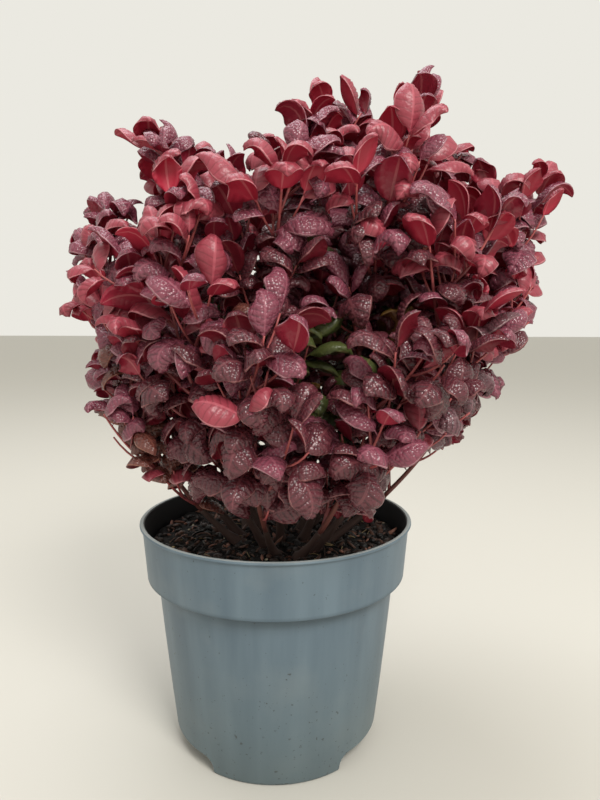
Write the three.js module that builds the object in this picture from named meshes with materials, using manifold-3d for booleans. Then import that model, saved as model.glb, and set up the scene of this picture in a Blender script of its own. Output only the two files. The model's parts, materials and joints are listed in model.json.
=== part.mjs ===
// A curly-leaved evergreen shrub in a round nursery pot, in millimetres, +Z up, standing on Z = 0.
// The origin is the middle of the pot's flat underside. -Y is the front, and an azimuth of 0 points along +X.
// One shrub of many stems: each leans out of the compost and ends where it enters a mass of foliage.
// A mass is the rest of that stem, its side shoots and their curled leaves, fused into one solid.

import * as THREE from "three";
import { mergeVertices } from "three/addons/utils/BufferGeometryUtils.js";
import Module from "manifold-3d";

const wasm = await Module();
wasm.setup();

// The pot: a 19 cm nursery pot with a deep plain band under its rim and three drainage recesses in its foot.
const POT = {
  height: 156,
  rimRadius: 95,
  rimDepth: 4,
  rimEdge: 1,
  bandTopRadius: 93.2,
  bandBottomRadius: 90.4,
  bandDepth: 38,
  bodyTopRadius: 83,
  footRadius: 71,
  wall: 1.5,
  floor: 2,
  facets: 42,
};
const RECESS = {
  count: 3,
  firstAzimuth: -30,
  halfWidth: 25,
  height: 11,
  innerRadius: 50,
  roof: 2,
  arcSegments: 8,
  holeRadius: 4.5,
  holeInset: 10,
  holeDepth: 8,
  holeSides: 12,
};
const COMPOST = {
  level: 140,
  flatRadius: 52,
  relief: 2.2,
  rings: 5,
  lumpAcross: 0.19,
  lumpAlong: 0.23,
  swellAcross: 0.07,
  swellAlong: 0.11,
};
const SEAT = 0.3;

// The stems, by the place of each foot in the compost and of each tip over the pot's underside.
// enter is the share of a stem that is bare, up to its mass.
const STEMS = [
  { name: "top_right", foot: [16, 5], tip: [106, 12, 446], enter: 0.36 },
  { name: "top_middle", foot: [4, 10], tip: [34, 14, 436], enter: 0.38 },
  { name: "top_left", foot: [-9, 7], tip: [-84, 5, 410], enter: 0.36 },
  { name: "left", foot: [-26, -1], tip: [-119, 0, 354], enter: 0.32 },
  { name: "high_right", foot: [34, 1], tip: [184, 5, 388], enter: 0.36 },
  { name: "front_left", foot: [-6, -28], tip: [-64, -90, 336], enter: 0.26 },
  { name: "front_middle", foot: [3, -11], tip: [-2, -76, 380], enter: 0.28 },
  { name: "middle_right", foot: [19, -9], tip: [68, -60, 394], enter: 0.3 },
  { name: "front_right", foot: [24, -34], tip: [106, -76, 338], enter: 0.28 },
  { name: "back_left", foot: [-22, 22], tip: [-48, 80, 386], enter: 0.36 },
  { name: "back_middle", foot: [3, 28], tip: [34, 100, 386], enter: 0.4 },
  { name: "back_right", foot: [26, 22], tip: [148, 54, 400], enter: 0.36 },
  { name: "low_left", foot: [-26, -16], tip: [-100, -34, 262], enter: 0.24 },
  { name: "low_front", foot: [-1, -40], tip: [-20, -108, 262], enter: 0.22 },
  { name: "low_front_right", foot: [15, -44], tip: [54, -112, 262], enter: 0.22 },
  { name: "low_right", foot: [34, -16], tip: [134, -24, 268], enter: 0.3 },
  { name: "low_back_left", foot: [-9, 42], tip: [-54, 100, 284], enter: 0.3 },
  { name: "low_back_right", foot: [16, 42], tip: [80, 110, 284], enter: 0.3 },
];
const STEM = {
  bowOut: 0.74,
  bowUp: 0.42,
  footRadius: 2.9,
  tipRadius: 1.8,
  flare: 0.6,
  flareHeight: 6,
  sides: 6,
  rings: 4,
};
// The crown is a squarish ellipsoid that reaches further under its middle than over it.
// Single shoots stand out of it.
const CROWN = {
  middle: [28, 0, 300],
  halfWidth: 165,
  halfDepth: 148,
  halfHeightAbove: 150,
  halfHeightBelow: 160,
  squareness: 2.3,
};
// The crown's outline as it looks from the front: x and z in the plane Y = 0, from low on the left.
const OUTLINE = {
  eye: [0, -445, 291],
  points: [
    [-92, 150], [-92, 174], [-118, 216], [-131, 238], [-128, 262], [-124, 283], [-150, 296],
    [-148, 331], [-132, 348], [-126, 374], [-98, 374], [-94, 357], [-86, 376], [-88, 397],
    [-108, 417], [-78, 430], [-66, 420], [-63, 400], [-50, 412], [-12, 415], [4, 446],
    [42, 453], [64, 443], [72, 420], [84, 440], [84, 463], [130, 457], [136, 436],
    [108, 430], [104, 408], [124, 414], [156, 407], [190, 398], [207, 381], [197, 367],
    [176, 364], [194, 341], [183, 307], [176, 273], [143, 264], [174, 247], [140, 228],
    [138, 208], [110, 202], [82, 188], [76, 150],
  ],
};
const SHOOT = {
  spacing: 22,
  tries: 8,
  shorter: 0.08,
  length: 76,
  tipLength: 46,
  wander: 0.16,
  angle: 46,
  angleWander: 16,
  turnWander: 40,
  outward: 0.35,
  lift: 0.5,
  reach: 0.93,
  firstShare: 0.04,
  lastShare: 0.84,
  rootShare: 0.85,
  tipRadius: 1,
  rings: 2,
  leaderRings: 4,
  clearance: 5,
  lowest: 162,
};
const LEAF = {
  length: 50,
  width: 31,
  thickness: 1.1,
  widestShare: 0.52,
  spacing: 16.5,
  spacingWander: 0.14,
  first: 10,
  last: 2,
  lastShare: 0.985,
  tries: 9,
  shrink: 0.04,
  lowestOverRim: 161,
  lowestInside: 150,
  mouthRadius: 78,
  reach: 1.04,
  tipReach: 32,
  outlineShare: 0.6,
  turn: 120,
  turnWander: 10,
  openAngle: 36,
  tipOpenAngle: 8,
  openWander: 12,
  curl: 132,
  tipCurl: 112,
  curlWander: 30,
  curlPower: 1.25,
  tipCurlPower: 2.6,
  curlSteps: 10,
  droop: 0.15,
  tipScale: 0.82,
  lean: 0.6,
};
const GOLDEN_ANGLE = 137.508;
const SPACE_SAMPLES = 8;
const SPACE_MARGIN = 0.4;
const SHORTEST_EDGE = 0.01;
const GUARD = {
  stemGap: 0.5,
  rimGap: 1,
  wallGap: 2,
  compostGap: 3.5,
};
const SHOOT_SEED = 977;
const LEAF_SEED = 6329;

const UP = new THREE.Vector3(0, 0, 1);
const radians = THREE.MathUtils.degToRad;

// Park and Miller's generator: numbers from 0 to 1 that are the same on every run.
function randomFrom(seed) {
  let state = seed;
  return () => {
    state = (state * 16807) % 2147483647;
    return state / 2147483647;
  };
}

const around = (random, middle, wander) => middle + wander * (2 * random() - 1);

const radially = (azimuth, distance) => [
  distance * Math.cos(radians(azimuth)),
  distance * Math.sin(radians(azimuth)),
];

function toSolid(geometry) {
  const bare = new THREE.BufferGeometry();
  bare.setAttribute("position", geometry.getAttribute("position").clone());
  if (geometry.index) bare.setIndex(geometry.index.clone());
  const merged = mergeVertices(bare, 1e-4);
  return new wasm.Manifold(
    new wasm.Mesh({
      numProp: 3,
      vertProperties: merged.getAttribute("position").array,
      triVerts: new Uint32Array(merged.index.array),
    }),
  );
}

function toMesh(name, solid, material) {
  const made = solid.getMesh();
  const corners = made.numProp;
  const places = new Float32Array(made.numVert * 3);
  for (let i = 0; i < made.numVert; i++)
    places.set(made.vertProperties.subarray(i * corners, i * corners + 3), i * 3);
  const geometry = new THREE.BufferGeometry();
  geometry.setAttribute("position", new THREE.BufferAttribute(places, 3));
  geometry.setIndex(new THREE.BufferAttribute(made.triVerts.slice(), 1));
  const mesh = new THREE.Mesh(geometry.toNonIndexed(), material);
  mesh.geometry.computeVertexNormals();
  mesh.name = name;
  return mesh;
}

// A turned solid. The profile is [radius, height] points, from its lowest one on the axis to its highest.
function turned(profile, facets) {
  const outline = profile.map(([radius, height]) => new THREE.Vector2(radius, height));
  return toSolid(new THREE.LatheGeometry(outline, facets).rotateX(Math.PI / 2));
}

// The outside of the pot, moved inwards by a wall, from the underside of the floor up to the top of the rim.
function potOutline(inset) {
  const bandBottom = POT.height - POT.bandDepth;
  const shoulder = POT.bandBottomRadius - POT.bodyTopRadius;
  return [
    [POT.footRadius - inset, 0],
    [POT.bodyTopRadius - inset, bandBottom + inset - shoulder * 0.5],
    [POT.bandBottomRadius - inset, bandBottom + inset],
    [POT.bandTopRadius - inset, POT.height - POT.rimDepth],
  ];
}

// What the pot holds inside its wall, with a gap to the wall, up to a height.
function potInside(gap, top) {
  const [foot, neck, bandBottom, bandTop] = potOutline(POT.wall + gap);
  const low = POT.floor + gap;
  const slope = (neck[0] - foot[0]) / (neck[1] - foot[1]);
  const bandSlope = (bandTop[0] - bandBottom[0]) / (bandTop[1] - bandBottom[1]);
  const topRadius = bandBottom[0] + bandSlope * (top - bandBottom[1]);
  return [[0, low], [foot[0] + slope * low, low], neck, bandBottom, [topRadius, top]];
}

// A block over part of a ring, between two radii, from one height to another.
function ringBlock(azimuth, halfWidth, inner, outer, low, high) {
  const from = radians(azimuth - halfWidth);
  const to = radians(azimuth + halfWidth);
  const shape = new THREE.Shape();
  shape.absarc(0, 0, outer, from, to, false);
  shape.absarc(0, 0, inner, to, from, true);
  shape.closePath();
  const block = new THREE.ExtrudeGeometry(shape, {
    depth: high - low,
    bevelEnabled: false,
    curveSegments: RECESS.arcSegments,
  });
  return toSolid(block.translate(0, 0, low));
}

const recessAzimuths = Array.from(
  { length: RECESS.count },
  (_, i) => RECESS.firstAzimuth + (360 / RECESS.count) * i,
);

// The pockets' own walls, thicker by extra on each side.
function recessBlocks(extra) {
  const outer = POT.rimRadius;
  const thick = RECESS.roof + extra;
  const halfWidth = RECESS.halfWidth + THREE.MathUtils.radToDeg(thick / POT.footRadius);
  return recessAzimuths
    .map((azimuth) => {
      const inner = RECESS.innerRadius - thick;
      return ringBlock(azimuth, halfWidth, inner, outer, -1, RECESS.height + thick);
    })
    .reduce((all, block) => all.add(block));
}

function makePot() {
  const rimInner = POT.bandTopRadius - POT.wall;
  const [foot, neck, bandBottom, bandTop] = potOutline(0);
  const outside = turned(
    [
      [0, 0],
      foot,
      neck,
      bandBottom,
      bandTop,
      [POT.rimRadius, POT.height - POT.rimDepth],
      [POT.rimRadius, POT.height - POT.rimEdge],
      [POT.rimRadius - POT.rimEdge, POT.height],
      [0, POT.height],
    ],
    POT.facets,
  );
  const hollow = potInside(0, POT.height - POT.rimDepth);
  const inside = turned([...hollow, [rimInner, POT.height + 1], [0, POT.height + 1]], POT.facets);
  let pot = outside.subtract(inside.subtract(recessBlocks(0)));
  for (const azimuth of recessAzimuths) {
    const outer = POT.rimRadius;
    const pocket = ringBlock(
      azimuth,
      RECESS.halfWidth,
      RECESS.innerRadius,
      outer,
      -1,
      RECESS.height,
    );
    const { holeRadius, holeInset, holeDepth, holeSides } = RECESS;
    const hole = new THREE.CylinderGeometry(holeRadius, holeRadius, holeDepth, holeSides)
      .rotateX(Math.PI / 2)
      .translate(...radially(azimuth, POT.footRadius - holeInset), RECESS.height);
    pot = pot.subtract(pocket).subtract(toSolid(hole));
  }
  return pot;
}

// The compost is level where the stems stand and lumpy from there to the wall.
function makeCompost() {
  const wallProfile = potInside(SEAT, COMPOST.level);
  const edge = wallProfile.at(-1)[0];
  const inward = Array.from({ length: COMPOST.rings }, (_, i) => [
    edge + ((COMPOST.flatRadius - edge) * (i + 1)) / COMPOST.rings,
    COMPOST.level,
  ]);
  const outline = [...wallProfile, ...inward, [0, COMPOST.level]];
  const points = outline.map(([radius, height]) => new THREE.Vector2(radius, height));
  const body = new THREE.LatheGeometry(points, POT.facets).rotateX(Math.PI / 2);
  const places = body.getAttribute("position");
  for (let i = 0; i < places.count; i++) {
    if (places.getZ(i) < COMPOST.level - SEAT) continue;
    const x = places.getX(i);
    const y = places.getY(i);
    const out = (Math.hypot(x, y) - COMPOST.flatRadius) / (edge - COMPOST.flatRadius);
    const lump = Math.sin(x * COMPOST.lumpAcross) * Math.cos(y * COMPOST.lumpAlong);
    const swell = Math.sin(x * COMPOST.swellAcross - y * COMPOST.swellAlong);
    const share = THREE.MathUtils.clamp(2 * out, 0, 1);
    places.setZ(i, COMPOST.level + share * COMPOST.relief * (lump + swell));
  }
  return toSolid(body).subtract(recessBlocks(SEAT));
}

// A stem's whole line, from the compost to its tip: it leans out first and turns upwards.
function stemLine({ foot, tip }) {
  const start = new THREE.Vector3(...foot, COMPOST.level + SEAT);
  const end = new THREE.Vector3(...tip);
  const bend = new THREE.Vector3(
    THREE.MathUtils.lerp(start.x, end.x, STEM.bowOut),
    THREE.MathUtils.lerp(start.y, end.y, STEM.bowOut),
    THREE.MathUtils.lerp(start.z, end.z, STEM.bowUp),
  );
  return new THREE.QuadraticBezierCurve3(start, bend, end);
}

// The direction that stays square to a curve all the way along, because the curve bends about it.
const bendAxis = (line) => line.getTangent(0).cross(line.getTangent(1)).normalize();

// A limb is straight from ring to ring, so its middle is on the chords of its curve.
function middleOf(line, [t0, t1], rings, t) {
  const place = ((t - t0) / (t1 - t0)) * rings;
  const ring = Math.min(rings - 1, Math.floor(place));
  const low = line.getPoint(THREE.MathUtils.lerp(t0, t1, ring / rings));
  const high = line.getPoint(THREE.MathUtils.lerp(t0, t1, (ring + 1) / rings));
  return low.lerp(high, place - ring);
}

// A tapering limb along a curve from share t0 to share t1: a cylinder whose rings are set on the curve.
// With a flat foot its lowest ring is carried along the limb onto the level of the limb's first point.
function limb(line, [t0, t1], radiusAt, sides, rings, flatFoot = false) {
  const shape = new THREE.CylinderGeometry(1, 1, 1, sides, rings);
  const side = bendAxis(line);
  const level = line.getPoint(t0).z;
  const places = shape.getAttribute("position");
  for (let i = 0; i < places.count; i++) {
    const share = places.getY(i) + 0.5;
    const t = t0 + (t1 - t0) * share;
    const ahead = line.getTangent(t);
    const other = new THREE.Vector3().crossVectors(ahead, side);
    const radius = radiusAt(share);
    const place = line
      .getPoint(t)
      .addScaledVector(other, radius * places.getX(i))
      .addScaledVector(side, radius * places.getZ(i));
    if (flatFoot && share === 0) place.addScaledVector(ahead, (level - place.z) / ahead.z);
    places.setXYZ(i, place.x, place.y, place.z);
  }
  return shape;
}

// The bare part of a stem, with its flare and a flat cut at the compost.
function stemSolid(stem, extra) {
  const line = stemLine(stem);
  const length = line.getLength() * stem.enter;
  const radiusAt = (share) => {
    const flare = 1 + STEM.flare * Math.exp((-share * length) / STEM.flareHeight);
    return THREE.MathUtils.lerp(STEM.footRadius, STEM.tipRadius, share) * flare + extra;
  };
  return toSolid(limb(line, [0, stem.enter], radiusAt, STEM.sides, STEM.rings, true));
}

const samplesOf = (line, from, to) =>
  Array.from({ length: SPACE_SAMPLES + 1 }, (_, i) =>
    line.getPoint(THREE.MathUtils.lerp(from, to, i / SPACE_SAMPLES)),
  );
const leaders = STEMS.map((stem) => samplesOf(stemLine(stem), stem.enter, 1));
const boughs = STEMS.map((stem) => samplesOf(stemLine(stem), 0, stem.enter));
const nearest = (point, samples) =>
  Math.min(...samples.map((sample) => sample.distanceTo(point)));

// Each mass keeps to the points that are nearer to its own leader than to any other's.
function keepsToSpace(index, points, margin) {
  return points.every((point) => {
    const limit = nearest(point, leaders[index]) + 2 * margin;
    return leaders.every((samples, j) => j === index || nearest(point, samples) > limit);
  });
}

// How far out a point is: 0 in the middle of the crown and 1 on its surface.
function crownReach(point) {
  const [x, y, z] = CROWN.middle;
  const halfHeight = point.z > z ? CROWN.halfHeightAbove : CROWN.halfHeightBelow;
  const shares = [
    (point.x - x) / CROWN.halfWidth,
    (point.y - y) / CROWN.halfDepth,
    (point.z - z) / halfHeight,
  ];
  const sum = shares.reduce((all, share) => all + Math.abs(share) ** CROWN.squareness, 0);
  return sum ** (1 / CROWN.squareness);
}

// The share of the points that are inside the outline. Each is seen from the eye against the plane Y = 0
// and tested there by counting how many sides of the outline lie to its right.
function insideOutline(points) {
  const [eyeX, eyeY, eyeZ] = OUTLINE.eye;
  const inside = points.filter((point) => {
    const share = eyeY / (eyeY - point.y);
    const x = eyeX + (point.x - eyeX) * share;
    const z = eyeZ + (point.z - eyeZ) * share;
    const crossed = OUTLINE.points.filter(([x0, z0], i) => {
      const [x1, z1] = OUTLINE.points[(i + 1) % OUTLINE.points.length];
      return z0 > z !== z1 > z && x < x0 + ((z - z0) * (x1 - x0)) / (z1 - z0);
    });
    return crossed.length % 2 === 1;
  });
  return inside.length / points.length;
}

function shootFits(index, line) {
  const points = samplesOf(line, 0.2, 1);
  return (
    crownReach(points.at(-1)) < SHOOT.reach &&
    insideOutline(points) === 1 &&
    keepsToSpace(index, points, SHOOT.clearance / 2) &&
    points.every((point) => point.z > SHOOT.lowest) &&
    points.every((point) => boughs.every((bough) => nearest(point, bough) > SHOOT.clearance))
  );
}

// A leaf may stand out of the crown only around the tip of its mass's leader.
// It hangs below the rim only inside the pot.
function leafInCrown(corners, tip) {
  const fits = corners.every((corner) => {
    const inside = Math.hypot(corner.x, corner.y) < LEAF.mouthRadius;
    const reaches = crownReach(corner) < LEAF.reach || corner.distanceTo(tip) < LEAF.tipReach;
    return reaches && corner.z > (inside ? LEAF.lowestInside : LEAF.lowestOverRim);
  });
  return fits && insideOutline(corners) > LEAF.outlineShare;
}

function cornersOf(geometry) {
  const places = geometry.getAttribute("position");
  return Array.from({ length: places.count }, (_, i) =>
    new THREE.Vector3().fromBufferAttribute(places, i),
  );
}

// A side shoot's line: it leaves its stem at an angle and turns towards the light.
function shootLine(line, start, t, turn, angle, outwards, length) {
  const ahead = line.getTangent(t);
  const across = new THREE.Vector3().crossVectors(ahead, UP);
  across.normalize().applyAxisAngle(ahead, radians(turn));
  across.addScaledVector(outwards, SHOOT.outward).normalize();
  const away = ahead
    .clone()
    .multiplyScalar(Math.cos(radians(angle)))
    .addScaledVector(across, Math.sin(radians(angle)))
    .normalize();
  const bend = start.clone().addScaledVector(away, length / 2);
  const upward = away.clone().lerp(UP, SHOOT.lift).normalize();
  const end = bend.clone().addScaledVector(upward, length / 2);
  return new THREE.QuadraticBezierCurve3(start, bend, end);
}

// The side shoots of a stem. One that would leave the mass's space is tried again on another side.
function shootsOf(stem, index) {
  const random = randomFrom(SHOOT_SEED * (index + 1));
  const line = stemLine(stem);
  const outwards = line.getPoint(1).sub(line.getPoint(0)).setZ(0).normalize();
  const leaderLength = line.getLength() * (1 - stem.enter);
  const count = Math.round(leaderLength / SHOOT.spacing);
  const shoots = [];
  for (let i = 0; i < count; i++) {
    const share = THREE.MathUtils.lerp(SHOOT.firstShare, SHOOT.lastShare, i / (count - 1));
    const t = THREE.MathUtils.lerp(stem.enter, 1, share);
    const start = middleOf(line, [stem.enter, 1], SHOOT.leaderRings, t);
    const full = THREE.MathUtils.lerp(SHOOT.length, SHOOT.tipLength, share);
    for (let attempt = 0; attempt < SHOOT.tries; attempt++) {
      const turn = GOLDEN_ANGLE * (i + attempt) + around(random, 0, SHOOT.turnWander);
      const angle = around(random, SHOOT.angle, SHOOT.angleWander);
      const length = full * around(random, 1, SHOOT.wander) * (1 - attempt * SHOOT.shorter);
      const shoot = shootLine(line, start, t, turn, angle, outwards, length);
      if (!shootFits(index, shoot)) continue;
      const leaderRadius = THREE.MathUtils.lerp(STEM.tipRadius, SHOOT.tipRadius, share);
      shoots.push({ line: shoot, rootRadius: leaderRadius * SHOOT.rootShare });
      break;
    }
  }
  return shoots;
}

// A leaf is eight facets: its root in the twig, its widest place, and a tip that curls over and down.
function leafShape(root, ahead, away, scale, young, random) {
  const { lerp } = THREE.MathUtils;
  const open = around(random, lerp(LEAF.openAngle, LEAF.tipOpenAngle, young), LEAF.openWander);
  const curl = around(random, lerp(LEAF.curl, LEAF.tipCurl, young), LEAF.curlWander);
  const power = lerp(LEAF.curlPower, LEAF.tipCurlPower, young);
  const up = ahead.clone().addScaledVector(UP, LEAF.lean).normalize();
  const outward = away.clone().addScaledVector(up, -away.dot(up)).normalize();
  const across = new THREE.Vector3().crossVectors(outward, up);
  const place = root.clone();
  const widest = new THREE.Vector3();
  const face = new THREE.Vector3();
  const step = (LEAF.length * scale) / LEAF.curlSteps;
  for (let i = 0; i < LEAF.curlSteps; i++) {
    const share = (i + 0.5) / LEAF.curlSteps;
    const angle = radians(open + curl * share ** power);
    place.addScaledVector(up, Math.cos(angle) * step);
    place.addScaledVector(outward, Math.sin(angle) * step);
    if (share < LEAF.widestShare) {
      widest.copy(place);
      face.copy(up).multiplyScalar(Math.sin(angle)).addScaledVector(outward, -Math.cos(angle));
    }
  }
  const edge = widest.clone().addScaledVector(face, -LEAF.droop * LEAF.width * scale);
  const half = (LEAF.width * scale) / 2;
  const shape = new THREE.OctahedronGeometry(1, 0);
  const places = shape.getAttribute("position");
  for (let i = 0; i < places.count; i++) {
    const corner = new THREE.Vector3().fromBufferAttribute(places, i).round();
    const spot = corner.y > 0 ? place.clone() : root.clone();
    if (corner.x) spot.copy(edge).addScaledVector(across, half * corner.x);
    if (corner.z) spot.copy(widest).addScaledVector(face, (LEAF.thickness / 2) * corner.z);
    places.setXYZ(i, spot.x, spot.y, spot.z);
  }
  return shape;
}

// Which way a leaf leaves its twig: square to it and turned about it.
function awayFrom(line, t, turn) {
  const ahead = line.getTangent(t);
  const side = bendAxis(line);
  const other = new THREE.Vector3().crossVectors(ahead, side);
  return other
    .multiplyScalar(Math.sin(radians(turn)))
    .addScaledVector(side, Math.cos(radians(turn)));
}

const apart = (one, other) =>
  [0, 1, 2].some((axis) => one.min[axis] > other.max[axis] || other.min[axis] > one.max[axis]);

function touches(solid, others) {
  const box = solid.boundingBox();
  return others.some(
    (other) => !apart(box, other.boundingBox()) && !solid.intersect(other).isEmpty(),
  );
}

// One mass: the stem's leader, its side shoots, and leaves along all of them.
// A leaf that would leave the mass's space or touch anything but its own twig is tried on another side.
function makeFoliage(stem, index, guard) {
  const random = randomFrom(LEAF_SEED * (index + 1));
  const line = stemLine(stem);
  const taper = (from) => (share) => THREE.MathUtils.lerp(from, SHOOT.tipRadius, share);
  const from = stem.enter + (SEAT * 1.2) / line.getLength();
  const twigs = [{ line, from, radiusAt: taper(STEM.tipRadius), rings: SHOOT.leaderRings }];
  for (const shoot of shootsOf(stem, index))
    twigs.push({ line: shoot.line, from: 0, radiusAt: taper(shoot.rootRadius), rings: SHOOT.rings });
  for (const twig of twigs)
    twig.solid = toSolid(limb(twig.line, [twig.from, 1], twig.radiusAt, 3, twig.rings));
  const leaves = [];
  for (const twig of twigs) {
    const otherTwigs = twigs.filter((other) => other !== twig).map((other) => other.solid);
    const length = twig.line.getLength();
    let turn = LEAF.turn / 2;
    let along = twig.from * length + LEAF.first;
    while (along < length + LEAF.last) {
      const share = Math.min(LEAF.lastShare, along / length);
      const young = ((share - twig.from) / (1 - twig.from)) ** 2;
      const full = THREE.MathUtils.lerp(1, LEAF.tipScale, share ** 3);
      const root = middleOf(twig.line, [twig.from, 1], twig.rings, share);
      const ahead = twig.line.getTangent(share);
      for (let attempt = 0; attempt < LEAF.tries; attempt++) {
        const scale = full * (1 - attempt * LEAF.shrink);
        const facing = around(random, turn, LEAF.turnWander);
        const away = awayFrom(twig.line, share, facing);
        const shape = leafShape(root, ahead, away, scale, young, random);
        turn += LEAF.turn;
        const corners = cornersOf(shape);
        if (!leafInCrown(corners, line.getPoint(1))) continue;
        if (!keepsToSpace(index, corners, SPACE_MARGIN)) continue;
        const leaf = toSolid(shape);
        if (touches(leaf, [guard, ...otherTwigs, ...leaves])) continue;
        leaves.push(leaf);
        break;
      }
      along += LEAF.spacing * around(random, 1, LEAF.spacingWander);
    }
  }
  const pieces = [...twigs.map((twig) => twig.solid), ...leaves];
  return pieces.reduce((all, piece) => all.add(piece)).simplify(SHORTEST_EDGE);
}

// What foliage stays clear of: the stems, the rim and wall of the pot, and the compost.
function makeGuard() {
  const outer = POT.rimRadius + GUARD.rimGap;
  const inset = POT.wall + GUARD.wallGap;
  const top = POT.height + GUARD.rimGap;
  const bottom = COMPOST.level + GUARD.compostGap;
  const potGuard = turned(
    [
      [0, 0],
      [outer, 0],
      [outer, top],
      [POT.bandTopRadius - inset, top],
      [POT.bandBottomRadius - inset, bottom],
      [0, bottom],
    ],
    POT.facets,
  );
  return STEMS.reduce((all, stem) => all.add(stemSolid(stem, GUARD.stemGap)), potGuard);
}

const finish = (color, roughness) =>
  new THREE.MeshStandardMaterial({ color, roughness, metalness: 0 });

const plastic = finish(0x6f8084, 0.5);
const compost = finish(0x2a211b, 0.95);
const bark = finish(0x6b3a33, 0.7);
const leafColours = [0x8a2c3e, 0x6d3642, 0x9c3345, 0x5f2f3a, 0x7b3040];

const shrub = new THREE.Group();
shrub.add(toMesh("pot", makePot(), plastic));
shrub.add(toMesh("compost", makeCompost(), compost));
const guard = makeGuard();
STEMS.forEach((stem, index) => {
  shrub.add(toMesh(`stem_${stem.name}`, stemSolid(stem, 0), bark));
  const leaves = finish(leafColours[index % leafColours.length], 0.45);
  leaves.flatShading = true;
  shrub.add(toMesh(`foliage_${stem.name}`, makeFoliage(stem, index, guard), leaves));
});

export default shrub;
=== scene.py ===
import json
import math

import bpy
import numpy as np
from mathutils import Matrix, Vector, noise

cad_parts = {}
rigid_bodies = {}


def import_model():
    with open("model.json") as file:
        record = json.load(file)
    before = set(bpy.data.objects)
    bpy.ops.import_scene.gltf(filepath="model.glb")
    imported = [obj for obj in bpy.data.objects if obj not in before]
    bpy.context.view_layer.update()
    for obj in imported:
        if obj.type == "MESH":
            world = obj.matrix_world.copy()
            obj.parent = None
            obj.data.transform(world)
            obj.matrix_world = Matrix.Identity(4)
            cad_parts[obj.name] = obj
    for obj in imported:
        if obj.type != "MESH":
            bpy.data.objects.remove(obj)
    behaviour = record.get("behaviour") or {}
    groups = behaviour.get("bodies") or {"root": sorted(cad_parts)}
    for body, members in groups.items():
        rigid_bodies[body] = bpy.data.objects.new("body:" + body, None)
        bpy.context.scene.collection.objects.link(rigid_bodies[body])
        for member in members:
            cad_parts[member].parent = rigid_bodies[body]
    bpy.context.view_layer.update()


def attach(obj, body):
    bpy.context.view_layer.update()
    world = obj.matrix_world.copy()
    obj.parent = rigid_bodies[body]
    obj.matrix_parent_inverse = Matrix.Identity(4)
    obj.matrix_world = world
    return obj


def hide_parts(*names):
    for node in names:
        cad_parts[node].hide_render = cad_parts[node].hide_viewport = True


bpy.ops.object.select_all(action="SELECT")
bpy.ops.object.delete()
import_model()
scene = bpy.context.scene
mm = 0.001


# small helpers

def linearFromHex(code):
    parts = [int(code[i:i + 2], 16) / 255 for i in (0, 2, 4)]
    bent = [c / 12.92 if c <= 0.04045 else ((c + 0.055) / 1.055) ** 2.4 for c in parts]
    return (*bent, 1.0)


def addNode(tree, kind, settings=None, links=None):
    # settings are sockets by name or properties, links are (output, input name) pairs
    node = tree.nodes.new(kind)
    for key, value in (settings or {}).items():
        if key in node.inputs:
            node.inputs[key].default_value = value
        else:
            setattr(node, key, value)
    for output, name in (links or []):
        tree.links.new(output, node.inputs[name])
    return node


def grey(amount):
    return (amount, amount, amount, 1.0)


def addRamp(tree, source, stops):
    # stops are (position, colour), and a new ramp has two of them already
    ramp = addNode(tree, "ShaderNodeValToRGB", None, [(source, "Fac")])
    elements = ramp.color_ramp.elements
    for k, (position, color) in enumerate(stops):
        element = elements[k] if k < 2 else elements.new(position)
        element.position = position
        element.color = color
    return ramp.outputs["Color"]


def addLayer(tree, share, base, color):
    # a colour that covers the base as far as its share says
    layer = addNode(tree, "ShaderNodeMix", {"data_type": "RGBA"})
    tree.links.new(share, layer.inputs[0])
    tree.links.new(base, layer.inputs[6])
    layer.inputs[7].default_value = linearFromHex(color)
    return layer.outputs[2]


def plainMaterial(name, color, **settings):
    material = bpy.data.materials.new(name)
    material.use_nodes = True
    shader = material.node_tree.nodes["Principled BSDF"]
    shader.inputs["Base Color"].default_value = linearFromHex(color)
    for key, value in settings.items():
        shader.inputs[key].default_value = value
    return material


def meshFromArrays(name, points, faces, materials, picks):
    # points in millimetres, faces as rows of point numbers, and for each face the number of its material
    mesh = bpy.data.meshes.new(name)
    mesh.from_pydata((np.asarray(points) * mm).tolist(), [], faces)
    for material in materials:
        mesh.materials.append(material)
    mesh.polygons.foreach_set("material_index", np.asarray(picks, dtype=np.int32))
    mesh.polygons.foreach_set("use_smooth", np.full(len(mesh.polygons), True))
    mesh.update()
    piece = bpy.data.objects.new(name, mesh)
    scene.collection.objects.link(piece)
    return piece


def unit(v):
    return v / np.linalg.norm(v)


def mix(a, b, share):
    return a + (b - a) * share


up = np.array([0.0, 0.0, 1.0])


# the growth rule: stems, their side shoots and the space of each mass, in millimetres

growth = {
    "soil": 140.3, "bowOut": 0.74, "bowUp": 0.42,
    "spacing": 22, "tries": 8, "length": 76, "tipLength": 46, "wander": 0.16,
    "angle": 46, "angleWander": 16, "turnWander": 40, "outward": 0.35, "lift": 0.5, "reach": 0.93,
    "firstShare": 0.04, "lastShare": 0.84, "leaderRings": 4, "clearance": 5, "lowest": 162,
    "shorter": 0.08, "golden": 137.508, "samples": 8, "clearFrom": 0.2, "measures": 200, "seed": 977,
}
crown = {
    "middle": (28, 0, 300), "halfWidth": 165, "halfDepth": 148, "above": 150, "below": 160,
    "squareness": 2.3,
}
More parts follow.
